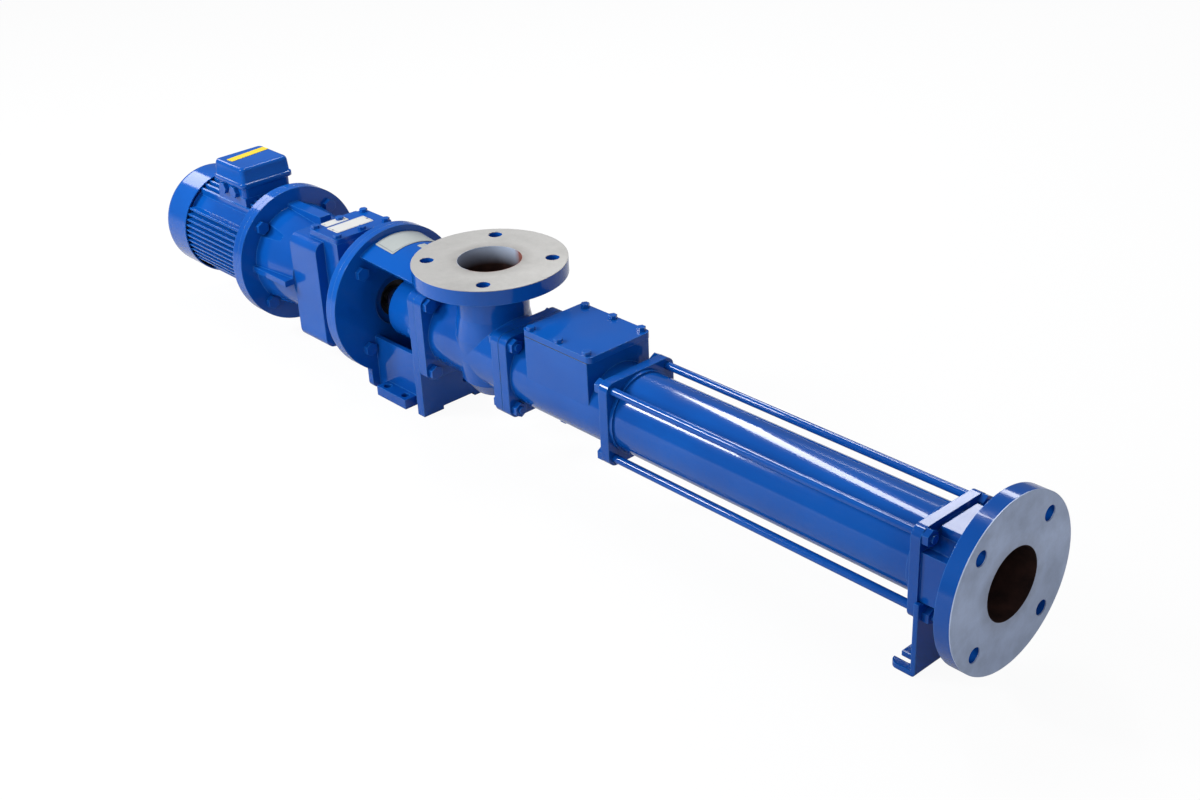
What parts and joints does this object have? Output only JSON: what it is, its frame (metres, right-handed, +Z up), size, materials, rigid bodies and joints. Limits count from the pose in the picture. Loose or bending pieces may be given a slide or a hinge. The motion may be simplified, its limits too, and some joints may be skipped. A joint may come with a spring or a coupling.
{
  "type": "progressive cavity pump",
  "caption": "Horizontal progressive cavity pump with a flanged geared motor, an upright suction port and an axial discharge port.",
  "frame": {"origin": "centre of the lantern foot's four-hole pattern, on the base plane", "axes": "+X along the shaft towards the discharge flange, +Z up through the suction port"},
  "size_m": [1.502, 0.21, 0.243],
  "materials": {
    "blue_paint": "glossy enamel",
    "laminations": "stacked sheet",
    "winding_copper": "varnished wire",
    "bright_steel": "ground",
    "machined_steel": "turned",
    "polished_steel": "polished",
    "black_rubber": "matt",
    "stator_rubber": "moulded",
    "fan_plastic": "moulded",
    "seal_ceramic": "lapped"
  },
  "bodies": {
    "pump_frame": {"fan_cover": "blue_paint", "motor_housing": "blue_paint", "motor_rear_shield": "blue_paint", "motor_flange_shield": "blue_paint", "motor_stator_core": "laminations", "motor_windings": "winding_copper", "motor_bearings": "bright_steel", "terminal_box": "blue_paint", "terminal_box_lid": "blue_paint", "cable_plugs": "blue_paint", "motor_flange_bolts": "blue_paint", "gearbox_housing": "blue_paint", "gearbox_cover": "blue_paint", "gearbox_cover_bolts": "blue_paint", "gearbox_bearings": "bright_steel", "oil_seal": "black_rubber", "lantern": "blue_paint", "lantern_bolts": "blue_paint", "seal_housing": "blue_paint", "seal_housing_bolts": "blue_paint", "seal_stationary_ring": "seal_ceramic", "suction_casing": "blue_paint", "suction_casing_bolts": "blue_paint", "casing_gasket": "black_rubber", "joint_casing": "blue_paint", "joint_casing_bolts": "blue_paint", "joint_casing_nuts": "blue_paint", "drain_plug": "blue_paint", "inspection_gasket": "black_rubber", "inspection_cover": "blue_paint", "inspection_cover_bolts": "blue_paint", "stator_tube": "blue_paint", "stator_elastomer": "stator_rubber", "stator_collars": "blue_paint", "tie_rods": "blue_paint", "tie_rod_nuts": "blue_paint", "discharge_casing": "blue_paint", "support_foot": "blue_paint"},
    "motor_rotor": {"motor_shaft": "machined_steel", "motor_rotor_core": "laminations", "cooling_fan": "fan_plastic", "input_pinion": "machined_steel"},
    "countershaft_group": {"countershaft": "machined_steel", "intermediate_gear": "machined_steel", "countershaft_pinion": "machined_steel"},
    "pump_shaft": {"output_shaft": "machined_steel", "output_gear": "machined_steel", "plug_in_shaft": "machined_steel", "shaft_pin": "bright_steel", "pin_sleeve": "bright_steel", "splash_ring": "black_rubber", "seal_rotating_ring": "seal_ceramic", "seal_spring": "bright_steel", "drive_joint_pins": "bright_steel"},
    "coupling": {"coupling_rod": "machined_steel", "joint_boots": "black_rubber"},
    "screw": {"rotor": "polished_steel", "rotor_joint_head": "machined_steel", "rotor_joint_pins": "bright_steel"}
  },
  "joints": [
    {"name": "pump_shaft_spin", "type": "hinge", "parent": "pump_frame", "child": "pump_shaft", "pos_m": [0, 0, 0.118], "axis": [1, 0, 0], "continuous": true},
    {"name": "motor_spin", "type": "hinge", "parent": "pump_frame", "child": "motor_rotor", "pos_m": [-0.4, 0, 0.118], "axis": [1, 0, 0], "continuous": true},
    {"name": "countershaft_spin", "type": "hinge", "parent": "pump_frame", "child": "countershaft_group", "pos_m": [-0.17, 0, 0.073], "axis": [1, 0, 0], "continuous": true},
    {"name": "rod_orbit", "type": "hinge", "parent": "pump_frame", "child": "coupling", "pos_m": [0.139, 0, 0.118], "axis": [1, 0, 0], "continuous": true},
    {"name": "rotor_spin", "type": "hinge", "parent": "coupling", "child": "screw", "pos_m": [0.389, 0.009, 0.118], "axis": [1, 0, 0], "continuous": true}
  ],
  "couplings": [
    {"joint": "motor_spin", "follows": "pump_shaft_spin", "ratio": 9.0357},
    {"joint": "countershaft_spin", "follows": "pump_shaft_spin", "ratio": -2.75},
    {"joint": "rod_orbit", "follows": "pump_shaft_spin", "ratio": -1},
    {"joint": "rotor_spin", "follows": "pump_shaft_spin", "ratio": 2}
  ]
}
